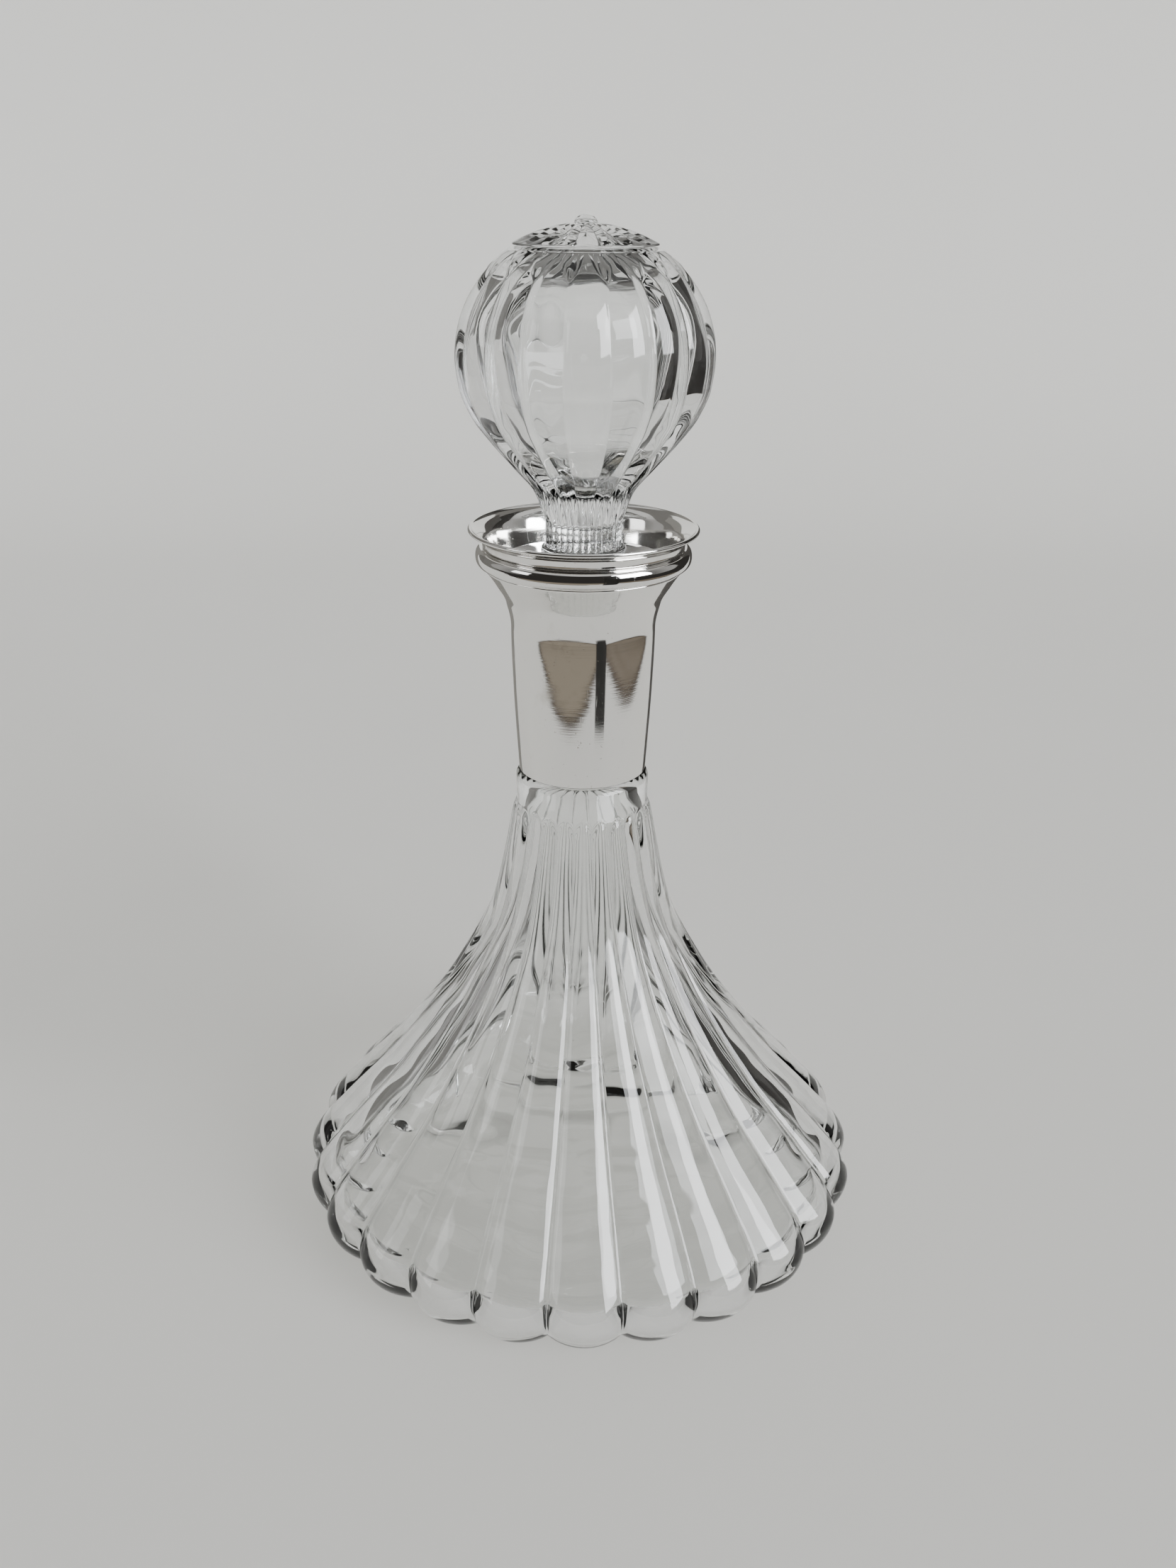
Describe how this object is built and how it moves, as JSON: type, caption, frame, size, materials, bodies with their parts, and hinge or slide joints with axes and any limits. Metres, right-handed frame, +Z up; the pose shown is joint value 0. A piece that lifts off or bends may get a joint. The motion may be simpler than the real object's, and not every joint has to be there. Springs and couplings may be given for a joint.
{
  "type": "decanter",
  "caption": "Ribbed clear glass decanter with a flared silver-plated pouring collar and a hollow ribbed ball stopper that lifts out and turns.",
  "frame": {"origin": "middle of the foot, on the surface the bottle stands on", "axes": "+Z up along the bottle's axis; one rib of the bottle faces -Y"},
  "size_m": [0.158, 0.158, 0.2676],
  "materials": {
    "bottle_glass": "clear pressed glass, polished",
    "ball_glass": "clear pressed glass, polished",
    "crown_glass": "clear pressed glass, polished",
    "silver_plate": "silver plate on spun brass, worn bright",
    "bead_silver": "silver plate, polished",
    "plaster": "dull white bonding plaster",
    "clear_plastic": "clear soft plastic, slightly cloudy"
  },
  "bodies": {
    "bottle": {"bottle": "bottle_glass", "collar": "silver_plate", "collar_bead": "bead_silver", "cement_ring": "plaster"},
    "sleeve": {"seal_sleeve": "clear_plastic"},
    "stopper": {"stopper_ball": "ball_glass", "stopper_crown": "crown_glass"}
  },
  "joints": [
    {"name": "stopper_lift", "type": "slide", "parent": "bottle", "child": "sleeve", "axis": [0, 0, 1], "range_m": [0, 0.12]},
    {"name": "stopper_turn", "type": "hinge", "parent": "sleeve", "child": "stopper", "pos_m": [0, 0, 0.1715], "axis": [0, 0, 1], "continuous": true}
  ]
}
